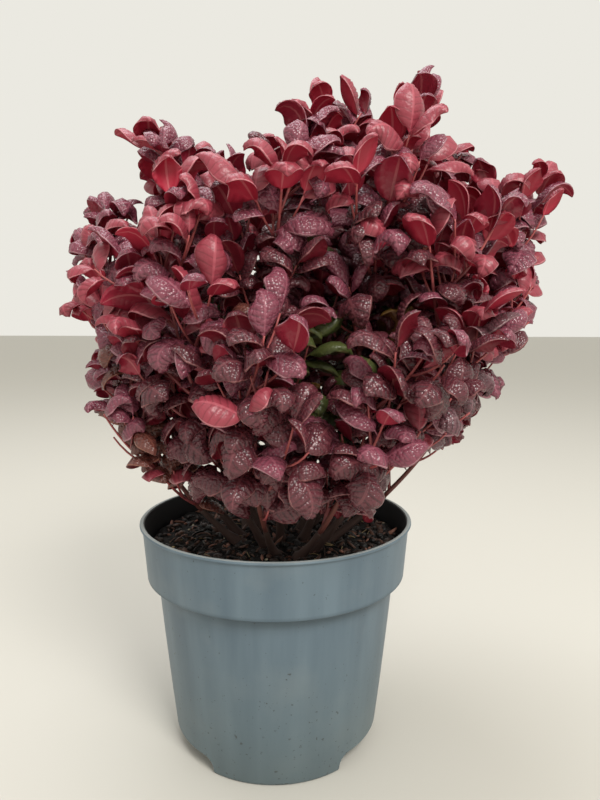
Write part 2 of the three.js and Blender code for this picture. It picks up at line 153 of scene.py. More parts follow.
# name, foot in the compost, tip, and the share of the stem that is bare
mainStems = [
    ("top_right", (16, 5), (106, 12, 446), 0.36),
    ("top_middle", (4, 10), (34, 14, 436), 0.38),
    ("top_left", (-9, 7), (-84, 5, 410), 0.36),
    ("left", (-26, -1), (-119, 0, 354), 0.32),
    ("high_right", (34, 1), (184, 5, 388), 0.36),
    ("front_left", (-6, -28), (-64, -90, 336), 0.26),
    ("front_middle", (3, -11), (-2, -76, 380), 0.28),
    ("middle_right", (19, -9), (68, -60, 394), 0.3),
    ("front_right", (24, -34), (106, -76, 338), 0.28),
    ("back_left", (-22, 22), (-48, 80, 386), 0.36),
    ("back_middle", (3, 28), (34, 100, 386), 0.4),
    ("back_right", (26, 22), (148, 54, 400), 0.36),
    ("low_left", (-26, -16), (-100, -34, 262), 0.24),
    ("low_front", (-1, -40), (-20, -108, 262), 0.22),
    ("low_front_right", (15, -44), (54, -112, 262), 0.22),
    ("low_right", (34, -16), (134, -24, 268), 0.3),
    ("low_back_left", (-9, 42), (-54, 100, 284), 0.3),
    ("low_back_right", (16, 42), (80, 110, 284), 0.3),
]


def randomFrom(seed):
    state = seed

    def draw():
        nonlocal state
        state = (state * 16807) % 2147483647
        return state / 2147483647
    return draw


def around(draw, middle, wander):
    return middle + wander * (2 * draw() - 1)


class Line:
    # a curve from its start to its end that is drawn towards its bend
    def __init__(self, start, bend, end):
        self.start, self.bend, self.end = (np.array(p, dtype=float) for p in (start, bend, end))

    def point(self, t):
        return (1 - t) ** 2 * self.start + 2 * t * (1 - t) * self.bend + t * t * self.end

    def ahead(self, t):
        return unit(2 * (1 - t) * (self.bend - self.start) + 2 * t * (self.end - self.bend))

    def length(self):
        spots = self.spread(0, 1, growth["measures"])
        return float(np.linalg.norm(np.diff(spots, axis=0), axis=1).sum())

    def spread(self, first, last, count):
        return np.array([self.point(mix(first, last, i / count)) for i in range(count + 1)])


def stemLine(foot, tip):
    start, end = np.array([*foot, growth["soil"]], dtype=float), np.array(tip, dtype=float)
    share = np.array([growth["bowOut"], growth["bowOut"], growth["bowUp"]])
    return Line(start, start + (end - start) * share, end)


stemLines = [stemLine(foot, tip) for name, foot, tip, enter in mainStems]
enters = [enter for name, foot, tip, enter in mainStems]
leaderSpots = [line.spread(enter, 1, growth["samples"]) for line, enter in zip(stemLines, enters)]
boughSpots = [line.spread(0, enter, growth["samples"]) for line, enter in zip(stemLines, enters)]


def nearest(point, spots):
    return float(np.linalg.norm(spots - point, axis=1).min())


def crownReach(point):
    half = crown["above"] if point[2] > crown["middle"][2] else crown["below"]
    halves = (crown["halfWidth"], crown["halfDepth"], half)
    shares = [abs(p - m) / h for p, m, h in zip(point, crown["middle"], halves)]
    return sum(share ** crown["squareness"] for share in shares) ** (1 / crown["squareness"])


# the crown's outline as it looks from the front, from low on the left over the top
outlineEye = np.array([0.0, -445.0, 291.0])
crownOutline = np.array([
    (-92, 150), (-92, 174), (-118, 216), (-131, 238), (-128, 262), (-124, 283), (-150, 296), (-148, 331),
    (-132, 348), (-126, 374), (-98, 374), (-94, 357), (-86, 376), (-88, 397), (-108, 417), (-78, 430),
    (-66, 420), (-63, 400), (-50, 412), (-12, 415), (4, 446), (42, 453), (64, 443), (72, 420), (84, 440),
    (84, 463), (130, 457), (136, 436), (108, 430), (104, 408), (124, 414), (156, 407), (190, 398),
    (207, 381), (197, 367), (176, 364), (194, 341), (183, 307), (176, 273), (143, 264), (174, 247),
    (140, 228), (138, 208), (110, 202), (82, 188), (76, 150),
])


def insideOutline(points):
    # the share of the points inside: each is seen against the plane y = 0 and its crossings are counted
    points = np.atleast_2d(points)
    share = outlineEye[1] / (outlineEye[1] - points[:, 1])
    x = (outlineEye[0] + (points[:, 0] - outlineEye[0]) * share)[:, None]
    z = (outlineEye[2] + (points[:, 2] - outlineEye[2]) * share)[:, None]
    x0, z0 = crownOutline.T
    x1, z1 = np.roll(crownOutline, -1, axis=0).T
    spans = (z0 > z) != (z1 > z)
    rise = np.where(z1 == z0, 1, z1 - z0)
    crossings = spans & (x < x0 + (z - z0) * (x1 - x0) / rise)
    return float(np.mean(crossings.sum(axis=1) % 2 == 1))


def shootFits(index, line):
    # a shoot keeps inside the crown and nearer to its own leader than to any other stem
    points = line.spread(growth["clearFrom"], 1, growth["samples"])
    if crownReach(points[-1]) >= growth["reach"] or points[:, 2].min() <= growth["lowest"]:
        return False
    if insideOutline(points) < 1:
        return False
    for point in points:
        limit = nearest(point, leaderSpots[index]) + growth["clearance"]
        for j, spots in enumerate(leaderSpots):
            if j != index and nearest(point, spots) <= limit:
                return False
        if any(nearest(point, spots) <= growth["clearance"] for spots in boughSpots):
            return False
    return True


def turnAbout(vector, axis, degrees):
    a = math.radians(degrees)
    return (vector * math.cos(a) + np.cross(axis, vector) * math.sin(a)
            + axis * np.dot(axis, vector) * (1 - math.cos(a)))


def middleOf(line, first, rings, t):
    place = (t - first) / (1 - first) * rings
    ring = min(rings - 1, int(place))
    low, high = line.point(mix(first, 1, ring / rings)), line.point(mix(first, 1, (ring + 1) / rings))
    return mix(low, high, place - ring)


def shootLine(line, start, t, turn, angle, outwards, length):
    ahead = line.ahead(t)
    across = turnAbout(unit(np.cross(ahead, up)), ahead, turn)
    across = unit(across + outwards * growth["outward"])
    away = unit(ahead * math.cos(math.radians(angle)) + across * math.sin(math.radians(angle)))
    bend = start + away * length / 2
    end = bend + unit(mix(away, up, growth["lift"])) * length / 2
    return Line(start, bend, end)


def shootsOf(index):
    draw = randomFrom(growth["seed"] * (index + 1))
    line, enter = stemLines[index], enters[index]
    outwards = unit((line.end - line.start) * (1, 1, 0))
    count = math.floor(line.length() * (1 - enter) / growth["spacing"] + 0.5)
    shoots = []
    for i in range(count):
        share = mix(growth["firstShare"], growth["lastShare"], i / (count - 1))
        t = mix(enter, 1, share)
        start = middleOf(line, enter, growth["leaderRings"], t)
        full = mix(growth["length"], growth["tipLength"], share)
        for attempt in range(growth["tries"]):
            turn = growth["golden"] * (i + attempt) + around(draw, 0, growth["turnWander"])
            angle = around(draw, growth["angle"], growth["angleWander"])
            length = full * around(draw, 1, growth["wander"]) * (1 - attempt * growth["shorter"])
            shoot = shootLine(line, start, t, turn, angle, outwards, length)
            if shootFits(index, shoot):
                shoots.append(shoot)
                break
    return shoots


allShoots = [shootsOf(index) for index in range(len(mainStems))]
print("side shoots grown:", sum(len(shoots) for shoots in allShoots))


# limbs

limb = {"sideHint": (0.31, 0.84, 0.43), "grainAcross": 2.2, "grainAlong": 0.22}


def limbArrays(spots, radii, sides, ridge=0.0, seed=0.0):
    # rings of points round a row of spots, closed by a point at each end
    spots = np.asarray(spots)
    ahead = np.gradient(spots, axis=0)
    ahead /= np.linalg.norm(ahead, axis=1)[:, None]
    side = unit(np.cross(ahead[0], limb["sideHint"]))
    turns = np.arange(sides) / sides * 2 * math.pi
    points = []
    for i, spot in enumerate(spots):
        side = unit(side - ahead[i] * np.dot(side, ahead[i]))
        other = np.cross(ahead[i], side)
        for turn in turns:
            x, y = math.cos(turn) * limb["grainAcross"], math.sin(turn) * limb["grainAcross"]
            grain = noise.noise(Vector((x, y + seed, i * limb["grainAlong"])))
            out = radii[i] * (1 + ridge * grain)
            points.append(spot + (side * math.cos(turn) + other * math.sin(turn)) * out)
    last = len(points)
    points += [spots[0], spots[-1]]
    faces = []
    for i in range(len(spots) - 1):
        for j in range(sides):
            a, b = i * sides + j, i * sides + (j + 1) % sides
            faces.append((a, b, b + sides, a + sides))
    for j in range(sides):
        faces.append(((j + 1) % sides, j, last))
        faces.append((last - sides + j, last - sides + (j + 1) % sides, last + 1))
    return points, faces


class Pile:
    # collects many small shapes for one joined mesh
    def __init__(self):
        self.points, self.faces, self.picks, self.count = [], [], [], 0

    def add(self, points, faces, picks):
        self.points.append(np.asarray(points, dtype=float))
        start = self.count
        self.faces.extend([tuple(start + k for k in face) for face in faces])
        self.picks.extend([picks] * len(faces) if isinstance(picks, int) else list(picks))
        self.count += len(points)

    def build(self, name, materials):
        return meshFromArrays(name, np.concatenate(self.points), self.faces, materials, self.picks)


# bark of a heath-family shrub: thin and grey-brown low down, smooth and red on this year's growth
oldBark = plainMaterial("oldBark", "4a3630", Roughness=0.75)
brownBark = plainMaterial("brownBark", "6a3a33", Roughness=0.6)
redBark = plainMaterial("redBark", "884042", Roughness=0.45)
youngBark = plainMaterial("youngBark", "a24e4e", Roughness=0.42)
barks = [oldBark, brownBark, redBark, youngBark]
oldPick, brownPick, redPick, youngPick = range(len(barks))

stems = {
    "footRadius": 2.9, "enterRadius": 1.8, "flare": 0.6, "flareHeight": 6,
    "sunk": 3, "sides": 12, "rings": 26, "ridge": 0.16, "grainStep": 3.7, "brownFrom": 44,
}
stemPile = Pile()
for index, line in enumerate(stemLines):
    shares = np.linspace(0, enters[index], stems["rings"])
    along = shares * line.length()
    radii = mix(stems["footRadius"], stems["enterRadius"], shares / enters[index])
    radii = radii * (1 + stems["flare"] * np.exp(-along / stems["flareHeight"]))
    spots = [line.point(t) for t in shares]
    spots.insert(0, spots[0] - line.ahead(0) * stems["sunk"])
    seed = index * stems["grainStep"]
    points, faces = limbArrays(spots, [radii[0], *radii], stems["sides"], stems["ridge"], seed)
    heights = np.array([np.mean([points[k][2] for k in face]) for face in faces])
    picks = np.where(heights > growth["soil"] + stems["brownFrom"], brownPick, oldPick)
    stemPile.add(points, faces, picks)
stemsPiece = stemPile.build("stems", barks)
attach(stemsPiece, "root")
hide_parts(*["stem_" + name for name, *rest in mainStems])

# twigs: leaders, side shoots and the finer twigs on them

twigs = {
    "leaderRadius": 1.75, "shootRadius": 1.25, "fineRadius": 0.85, "tipRadius": 0.55,
    "fineLength": 30, "fineWander": 0.25, "fineShares": (0.3, 0.6),
    "leaderShares": (0.12, 0.28, 0.45, 0.62, 0.78, 0.9),
    "fineAngle": 48, "fineAngleWander": 14, "fineReach": 0.98, "tries": 5, "seed": 4127,
    "sides": 6, "rings": (22, 10, 6), "brownTo": 0.25, "redTo": (0.75, 0.55, 0.3),
}
leaderRank, shootRank, fineRank = range(3)
limbs = []       # (line, first share, root radius, mass, rank)
for index, line in enumerate(stemLines):
    draw = randomFrom(twigs["seed"] * (index + 1))
    outwards = unit((line.end - line.start) * (1, 1, 0))
    limbs.append((line, enters[index], twigs["leaderRadius"], index, leaderRank))
    for shoot in allShoots[index]:
        limbs.append((shoot, 0, twigs["shootRadius"], index, shootRank))
    carriers = [(line, mix(enters[index], 1, share)) for share in twigs["leaderShares"]]
    carriers += [(shoot, share) for shoot in allShoots[index] for share in twigs["fineShares"]]
    for carrier, share in carriers:
        for attempt in range(twigs["tries"]):
            length = twigs["fineLength"] * around(draw, 1, twigs["fineWander"])
            angle = around(draw, twigs["fineAngle"], twigs["fineAngleWander"])
            fine = shootLine(carrier, carrier.point(share), share, 360 * draw(), angle, outwards, length)
            inReach = crownReach(fine.end) < twigs["fineReach"] and fine.end[2] > growth["lowest"]
            if inReach and insideOutline(fine.end) == 1:
                limbs.append((fine, 0, twigs["fineRadius"], index, fineRank))
                break


def barkPick(rank, share):
    if rank == leaderRank and share < twigs["brownTo"]:
        return brownPick
    return redPick if share < twigs["redTo"][rank] else youngPick


twigPile = Pile()
for line, first, radius, index, rank in limbs:
    rings, sides = twigs["rings"][rank], twigs["sides"]
    spots = [line.point(t) for t in np.linspace(first, 1, rings)]
    radii = mix(radius, twigs["tipRadius"], np.linspace(0, 1, rings))
    points, faces = limbArrays(spots, radii, sides)
    shares = [min(rings - 2, k // sides) / (rings - 1) for k in range(len(faces))]
    twigPile.add(points, faces, [barkPick(rank, share) for share in shares])
twigsPiece = twigPile.build("twigs", barks)
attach(twigsPiece, "root")
massNodes = ["foliage_" + name for name, *rest in mainStems]
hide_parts(*massNodes)
print("twigs:", len(limbs))

# leaves

# a leaf is an ellipse with a drawn-out tip, quilted between sunken veins, hooked over and down
leaf = {
    "length": 35, "width": 23, "thickness": 0.45, "stalk": 0.09, "stalkWidth": 1.4, "stalkTo": 0.5,
    "veins": 7, "veinSlope": 0.13, "veinFoot": 0.04, "veinTop": 0.94, "quilt": 1.35, "pucker": 0.35,
    "midrib": 0.5, "midribSpread": 0.12, "midribHalf": 0.05, "margin": 0.94,
    "broadest": 0.92, "fullness": 0.62, "taper": 0.25, "taperPower": 6, "tipHalf": 0.12,
    "archPower": 2.2, "archNarrows": 0.35, "bends": 40,
}
upperZone, ribZone, marginZone, underZone, underRibZone, veinShadeZone = range(6)


def leafGrid(fine):
    # shares along the leaf, places across it, quilt height at each point, zones of the faces
    # the upper face has a row at each vein and two between, the underside one row for each vein
    # a row says its share along the leaf, its quilt height and whether the face past it is a sunken vein
    if fine:
        bottom, top = leaf["stalk"] + leaf["veinFoot"], leaf["veinTop"]
        between = [(0, 0.1, 0), (0.26, 0.9, 0), (0.8, 0.9, 1)]
        rows = [(0, 0, 0), (leaf["stalk"], 0, 0)]
        for vein in range(leaf["veins"]):
            rows += [(mix(bottom, top, (vein + place) / leaf["veins"]), lift, groove)
                     for place, lift, groove in between]
        rows += [(top, 0.2, 0), (0.98, 0, 0), (1, 0, 0)]
        across = np.array([-1, -leaf["margin"], -0.5, -0.06, 0.06, 0.5, leaf["margin"], 1])
        bulge = np.array([0, 0.35, 1, 0.15, 0.15, 1, 0.35, 0])
        columns = [2, 3, 4, 5]
        underRows = [1, *range(2, len(rows) - 3, len(between)), len(rows) - 3]
    else:
        rows = [(0, 0, 0), (leaf["stalk"], 0, 0)]
        rows += [(place, 0.4, 0) for place in (0.2, 0.35, 0.5, 0.65, 0.8, 0.92)] + [(1, 0, 0)]
        across = np.array([-1, -0.6, -0.07, 0.07, 0.6, 1])
        bulge = np.array([0, 0.7, 0.1, 0.1, 0.7, 0])
        columns = [2, 3]
        underRows = [1, 2, 4, 6]
    along = np.array([place for place, lift, groove in rows])
    quilt = np.array([lift for place, lift, groove in rows])[:, None] * bulge[None, :]
    last, right = len(along) - 1, len(across) - 1
    over = np.arange(len(along) * len(across)).reshape(len(along), len(across))
    under = over.copy()
    under[np.ix_(underRows, columns)] = over.size + np.arange(len(underRows) * len(columns)).reshape(
        len(underRows), len(columns))
    faces, zones = [], []
    for i in range(last):
        for j in range(right):
            middle = abs(across[j] + across[j + 1]) / 2
            rib = along[i + 1] <= leaf["stalk"] or middle < leaf["midribHalf"]
            edge = fine and middle > leaf["margin"]
            faces.append((over[i, j], over[i + 1, j], over[i + 1, j + 1], over[i, j + 1]))
            # faces sloping down into a sunken vein take a darker colour, painted shade in the groove
            zones.append(ribZone if rib else marginZone if edge else veinShadeZone if rows[i][2] else upperZone)
    for a, b in zip([0, *underRows], [*underRows, last]):
        # the strip next to each margin takes in all the points of the margin
        near, far = columns[0], columns[-1]
        head = list(under[a, 0:near + 1]) if a == 0 else [under[a, 0], under[a, near]]
        tail = list(under[b, near::-1]) if b == last else [under[b, near], under[b, 0]]
        faces.append((*head, *tail, *over[b - 1:a:-1, 0]))
        head = list(under[a, far:]) if a == 0 else [under[a, far], under[a, right]]
        tail = list(under[b, :far - 1:-1]) if b == last else [under[b, right], under[b, far]]
        faces.append((*head, *over[a + 1:b, right], *tail))
        zones += [underRibZone if a == 0 else underZone] * 2
        for j, k in zip(columns, columns[1:]):
            rib = a == 0 or abs(across[j] + across[k]) / 2 < leaf["midribHalf"]
            faces.append((under[a, j], under[a, k], under[b, k], under[b, j]))
            zones.append(underRibZone if rib else underZone)
    return {"along": along, "across": across, "quilt": quilt, "under": np.ix_(underRows, columns),
            "faces": [tuple(int(k) for k in face) for face in faces], "zones": zones}


fineGrid, coarseGrid = leafGrid(True), leafGrid(False)


def leafOutline(share):
    # half width from 0 to 1: a broad ellipse that runs out into a short point
    body = np.clip((share - leaf["stalk"]) / (1 - leaf["stalk"]), 0, 1)
    ellipse = np.sin(math.pi * body ** leaf["broadest"]) ** leaf["fullness"]
    return ellipse * (1 - leaf["taper"] * body ** leaf["taperPower"])


def leafPoints(grid, root, ahead, away, look):
    # the blade bends away from its shoot by angles that grow along it, and is quilted, arched and twisted
    upward = unit(ahead + up * look["lean"])
    outward = unit(away - upward * np.dot(away, upward))
    across = np.cross(outward, upward)
    length, width = leaf["length"] * look["scale"], leaf["width"] * look["scale"] * look["broad"]
    steps = np.linspace(0, 1, leaf["bends"] + 1)
    angles = np.radians(look["open"] + look["curl"] * steps ** look["power"])

    def travelled(part):
        # how far the blade has come at each step, by the sines or the cosines of its angles
        parts = (part(angles[1:]) + part(angles[:-1])) / 2
        return np.concatenate([[0], np.cumsum(parts)]) / leaf["bends"] * length

    rise, run = travelled(np.cos), travelled(np.sin)
    u, v = grid["along"][:, None], grid["across"][None, :]
    body = np.clip((u - leaf["stalk"]) / (1 - leaf["stalk"]), 0, 1)
    s = u + leaf["veinSlope"] * np.abs(v) * np.sin(math.pi * body)
    stalk = leaf["stalkWidth"] / 2 * look["scale"] * (s < leaf["stalkTo"])
    half = np.maximum(leafOutline(s) * width / 2, stalk)
    half = np.where(u >= 1, leaf["tipHalf"], half)
    angle = np.interp(s, steps, angles)
    twist = np.radians(look["twist"]) * s
    sway = look["sway"] * length * s ** 2
    middle = (root + upward * np.interp(s, steps, rise)[..., None]
              + outward * np.interp(s, steps, run)[..., None])
    face = upward * np.sin(angle)[..., None] - outward * np.cos(angle)[..., None]
    level = across * np.cos(twist)[..., None] + face * np.sin(twist)[..., None]
    square = face * np.cos(twist)[..., None] - across * np.sin(twist)[..., None]
    dip = look["arch"] * half * np.abs(v) ** leaf["archPower"]
    uneven = leaf["pucker"] * look["noise"][:u.size, :v.size]
    quilt = grid["quilt"] * (leaf["quilt"] * look["quilt"] + uneven) * look["scale"]
    narrowed = 1 - leaf["archNarrows"] * look["arch"] * np.abs(v)
    tops = middle + level * (sway + half * v * narrowed)[..., None]
    tops = tops + square * (quilt - dip)[..., None]
    rib = leaf["midrib"] * look["scale"] * np.exp(-(v / leaf["midribSpread"]) ** 2)
    thick = leaf["thickness"] + rib + quilt
    unders = (tops - square * thick[..., None])[grid["under"]]
    return np.concatenate([tops.reshape(-1, 3), unders.reshape(-1, 3)])


# leathery leaves with a thin wax: upper face, midrib, margin, underside, rib below, and sunken veins, whose
# grooves are painted darker as shade
tintColors = {
    "crimson": ("903845", "a24854", "ba727a", "b0263e", "c25c66", "7e2f3a"),
    "plum": ("7c3f4e", "8a4c5a", "a2727c", "9c293e", "b45a62", "683643"),
    "maroon": ("5c2c34", "6a383e", "845254", "842232", "9a4c4e", "48232a"),
    "mauve": ("623e45", "704a50", "8a696d", "7e303a", "9a595c", "4c3236"),
    "bronze": ("683a33", "74443a", "8a5849", "743236", "9a544b", "5c332d"),
    "olive": ("484e28", "5a5830", "62583c", "564e2e", "72623e", "3e4422"),
    "amber": ("8a6430", "966e3e", "9c6846", "885a38", "a07048", "78542a"),
}
leafZones = [   # roughness, and how deeply the face is puckered
    ("Upper", 0.22, 0.9), ("Rib", 0.28, 0.4), ("Margin", 0.36, 0.3), ("Under", 0.34, 0.2),
    ("UnderRib", 0.42, 0.1), ("VeinShade", 0.26, 0.6),
]
smoothTints = {"crimson": 0.25, "olive": 0.5, "amber": 0.5}      # young and shaded leaves pucker less
satin = {"smooth": 0.16, "puckered": 0.02}                       # and shine less
blister = {"scale": 500.0, "power": 2.0, "depth": 0.0008}


def leafMaterial(name, color, roughness, pucker):
    # the net of small veins leaves blisters about 2 mm wide, which break the gloss into glints
    material = plainMaterial(name, color, Roughness=roughness)
    tree = material.node_tree
    shader = tree.nodes["Principled BSDF"]
    place = addNode(tree, "ShaderNodeTexCoord")
    cells = addNode(tree, "ShaderNodeTexVoronoi", {"Scale": blister["scale"]},
                    [(place.outputs["Object"], "Vector")])
    domes = addNode(tree, "ShaderNodeMath", {"operation": "POWER"}, [(cells.outputs["Distance"], 0)])
    domes.inputs[1].default_value = blister["power"]
    bump = addNode(tree, "ShaderNodeBump",
                   {"invert": True, "Strength": pucker, "Distance": blister["depth"]},
                   [(domes.outputs["Value"], "Height")])
    tree.links.new(bump.outputs["Normal"], shader.inputs["Normal"])
    return material


tintLists = {}
for tint, colors in tintColors.items():
    share = smoothTints.get(tint, 1)
    duller = satin["smooth" if tint in smoothTints else "puckered"]
    tintLists[tint] = [leafMaterial(tint + zone, color, roughness + duller, pucker * share)
                       for color, (zone, roughness, pucker) in zip(colors, leafZones)]

# what a spray's leaves turn by where it grows, with the share of the sprays that turn so
sprayTints = {
    "inside": {"maroon": 0.46, "olive": 0.34, "bronze": 0.12, "amber": 0.08},
    "half": {"plum": 0.5, "maroon": 0.32, "olive": 0.08, "bronze": 0.07, "amber": 0.03},
    "low": {"maroon": 0.5, "mauve": 0.2, "plum": 0.16, "bronze": 0.14},
    "high": {"plum": 0.52, "crimson": 0.24, "maroon": 0.16, "mauve": 0.08},
    "tip": {"crimson": 0.9, "plum": 0.1},
    "young": {"crimson": 0.58, "plum": 0.42},
    "youngLow": {"plum": 0.54, "maroon": 0.32, "crimson": 0.14},
}


def sprayTint(place, pick):
    for tint, share in sprayTints[place].items():
        if pick < share:
            return tint
        pick -= share
    return tint


# where leaves stand along a shoot, what keeps them apart and inside the crown, and how sprays are told apart
spray = {
    "first": 6, "spacing": 8.6, "spacingWander": 0.2, "tuft": 13, "tuftSpacing": 4,
    "bareTo": 30, "bareSpacing": 11, "sparseLow": 1.15, "sparseTo": 0.4, "sparseEdge": 1.3,
    "sparseReach": (0.7, 0.95), "tries": 8, "tryTurn": 40, "turnWander": 12, "sideHint": (0.2, 0.1, 1),
    "gap": 2.9, "hem": (150, 176), "rimHem": 161, "mouth": 78, "bare": (-20, -70), "bareRise": 26,
    "fineReach": 0.5, "crownReach": 1.04, "outlineShare": 0.95, "tipOutlineShare": 0.42, "tipReach": 36,
    "measuredAt": 0.6, "low": 160, "tall": 300, "insideReach": 0.52, "halfReach": 0.66, "highFrom": 0.42,
    "tipFrom": 0.5, "youngReach": 0.6, "youngFrom": 0.36, "youngShare": 0.66,
    "pieceFaces": 76000, "seed": 9181, "seedAcross": 31, "seedDeep": 17,
}
taken = {}


def isFree(points):
    cells = {tuple(cell) for cell in np.floor(points / spray["gap"]).astype(int).tolist()}
    for x, y, z in cells:
        for dx in (-1, 0, 1):
            for dy in (-1, 0, 1):
                for dz in (-1, 0, 1):
                    for other in taken.get((x + dx, y + dy, z + dz), ()):
                        if np.linalg.norm(points - other, axis=1).min() < spray["gap"]:
                            return False
    return True


def occupy(points):
    for point in points:
        taken.setdefault(tuple(np.floor(point / spray["gap"]).astype(int).tolist()), []).append(point)


def leafFits(points, tip, hem):
    # a leaf keeps above its own hem, which rises to the left where the plant is bare low down,
    # and only those round a leader's tip may stand out of the crown
    for point in points:
        inside = math.hypot(point[0], point[1]) < spray["mouth"]
        lowest = hem + spray["bareRise"] * np.interp(point[0], spray["bare"][::-1], (1, 0))
        if point[2] < (lowest if inside else max(lowest, spray["rimHem"])):
            return False
        if crownReach(point) > spray["crownReach"] and np.linalg.norm(point - tip) > spray["tipReach"]:
            return False
    atTip = np.linalg.norm(points - tip, axis=1).max() < spray["tipReach"]
    return insideOutline(points) > spray["tipOutlineShare" if atTip else "outlineShare"]


# what old leaves have, what those at a shoot's tip have, and how far a leaf strays from that
# scales also stray as allScales says and shrink with each try, and leaves low in the crown open wider
habit = {
    "scale": (1.05, 0.94), "allScales": (0.97, 0.15), "retryScale": 0.03, "broad": (1, 1, 0.12),
    "lean": (0.2, 0.45, 0.35), "open": (54, 16, 24), "openByHeight": (10, -6), "curl": (172, 126, 56),
    "power": (1.3, 2.6, 0.4), "twist": (0, 0, 48), "sway": (0, 0, 0.14), "arch": (0.44, 0.58, 0.2),
    "quilt": (1, 0.35),
}
puckers = np.random.default_rng(spray["seed"])


def leafLook(draw, grown, high, attempt):
    # older leaves arch out and over, those near the tip stand up as cups with a hooked point
    def strayed(name, share, more=0):
        old, tip, wander = habit[name]
        return around(draw, mix(old, tip, share) + more, wander)

    shrunk = 1 - attempt * habit["retryScale"]
    return {
        "scale": mix(*habit["scale"], grown ** 3) * around(draw, *habit["allScales"]) * shrunk,
        "broad": strayed("broad", grown),
        "lean": strayed("lean", high),
        "open": strayed("open", grown ** 1.5, mix(*habit["openByHeight"], high)),
        "curl": strayed("curl", grown),
        "power": strayed("power", grown),
        "twist": strayed("twist", grown),
        "sway": strayed("sway", grown),
        "arch": strayed("arch", grown),
        "quilt": mix(*habit["quilt"], grown ** 2),
        "noise": 2 * puckers.random(fineGrid["quilt"].shape) - 1,
    }


# the points of a coarse leaf that say whether it fits, and which of them says how far out it hangs
testSpots = [13, 14, 19, 24, 25, 28, 31, 34, 38, 43, 44, 49, 51]
depthSpot = 4
leafPiles = {tint: [Pile()] for tint in tintColors}
leafCount = {True: 0, False: 0}


def leafPile(tint):
    # a full pile makes way for the next, so that no piece grows too large
    piles = leafPiles[tint]
    if len(piles[-1].faces) > spray["pieceFaces"]:
        piles.append(Pile())
    return piles[-1]


def sprayPlaces(rank, reach, high):
    # the places that give a spray's old and young leaves their tints
    if reach < spray["insideReach"] and high < spray["highFrom"]:
        place = "inside"
    elif reach < spray["halfReach"]:
        place = "half"
    else:
        place = "high" if high > spray["highFrom"] else "low"
    if rank == leaderRank and high > spray["tipFrom"]:
        return place, "tip"
    if reach < spray["youngReach"]:
        return place, place
    return place, "young" if high > spray["youngFrom"] else "youngLow"


def leafStep(left):
    # leaves crowd at a shoot's tip and are few just below it
    if left < spray["tuft"]:
        return spray["tuftSpacing"]
    return spray["bareSpacing"] if left < spray["bareTo"] else spray["spacing"]


for line, first, radius, index, rank in limbs:
    own = int(abs(line.end[0]) * spray["seedAcross"] + abs(line.end[1]) * spray["seedDeep"]) + rank
    draw = randomFrom(spray["seed"] * (index + 1) + own)
    middle = line.point(mix(first, 1, spray["measuredAt"]))
    reach, high = crownReach(middle), (middle[2] - spray["low"]) / spray["tall"]
    oldTint, youngTint = [sprayTint(place, draw()) for place in sprayPlaces(rank, reach, high)]
    sparse = (np.interp(high, (0, spray["sparseTo"]), (spray["sparseLow"], 1))
              * np.interp(reach, spray["sparseReach"], (1, spray["sparseEdge"])))
    length = line.length()
    along = first * length + spray["first"]
    turn = 360 * draw()
    while along < length + 1:
        share = min(1, along / length)
        grown = (share - first) / (1 - first)
        root, ahead = line.point(share), line.ahead(share)
        side = unit(np.cross(ahead, spray["sideHint"]))
        hem = mix(*spray["hem"], draw())
        for attempt in range(spray["tries"]):
            turned = turn + spray["tryTurn"] * attempt + around(draw, 0, spray["turnWander"])
            away = turnAbout(side, ahead, turned)
            look = leafLook(draw, grown, high, attempt)
            trial = leafPoints(coarseGrid, root, ahead, away, look)
            spots = trial[testSpots]
            if leafFits(spots, stemLines[index].end, hem) and isFree(spots):
                fine = crownReach(spots[depthSpot]) > spray["fineReach"]
                grid = fineGrid if fine else coarseGrid
                points = leafPoints(grid, root, ahead, away, look) if fine else trial
                pile = leafPile(youngTint if grown > spray["youngShare"] else oldTint)
                pile.add(points, grid["faces"], grid["zones"])
                occupy(spots)
                leafCount[fine] += 1
                break
        turn += growth["golden"]
        along += leafStep(length - along) * around(draw, 1, spray["spacingWander"]) * sparse

leafTriangles = 0
for tint, piles in leafPiles.items():
    for number, pile in enumerate(piles):
        piece = pile.build(f"leaves_{tint}_{number + 1}", tintLists[tint])
        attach(piece, "root")
        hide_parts(*massNodes)
        triangles = sum(len(face) - 2 for face in pile.faces)
        leafTriangles += triangles
        print(piece.name, triangles, "triangles")
print("leaves:", leafCount, leafTriangles, "triangles")

# pot: thermoformed polypropylene, blue-grey outside and black inside

pot = {
    "height": 156, "foot": 71, "neck": 83, "bandFoot": 90.4, "bandTop": 93.2, "rim": 95,
    "bandDepth": 38, "wall": 1.5, "floor": 13, "floorRadius": 70.8, "around": 96,
    "lowerBody": (40, 75.5), "upperBody": (78, 79.5), "bandBelly": 91.7, "bellyRise": 17,
    "blackFrom": 12, "blackWithin": 80, "facingIn": 0.3, "facingUp": 0.5, "highlightDepth": 0.3, "highlightWidth": 0.8,
    "sharpAngle": 38,
}


def deselectAll():
    for other in bpy.context.selected_objects:
        other.select_set(False)


def turnedPiece(name, rings, around):
    deselectAll()
    height, radius = rings[0]
    bpy.ops.mesh.primitive_circle_add(vertices=around, radius=radius * mm, fill_type="NGON",
                                      location=(0, 0, height * mm))
    piece = bpy.context.object
    piece.name = name
    bpy.ops.object.transform_apply(location=True, rotation=True, scale=True)
    bpy.ops.object.mode_set(mode="EDIT")
    bpy.ops.mesh.select_all(action="SELECT")
    for nextHeight, nextRadius in rings[1:]:
        rise = (nextHeight - height) * mm
        bpy.ops.mesh.extrude_region_move(TRANSFORM_OT_translate={"value": (0, 0, rise)})
        scale = nextRadius / radius
        bpy.ops.transform.resize(value=(scale, scale, 1), center_override=(0, 0, nextHeight * mm))
        height, radius = nextHeight, nextRadius
    bpy.ops.mesh.select_all(action="SELECT")
    bpy.ops.mesh.normals_make_consistent(inside=False)
    bpy.ops.object.mode_set(mode="OBJECT")
    return piece


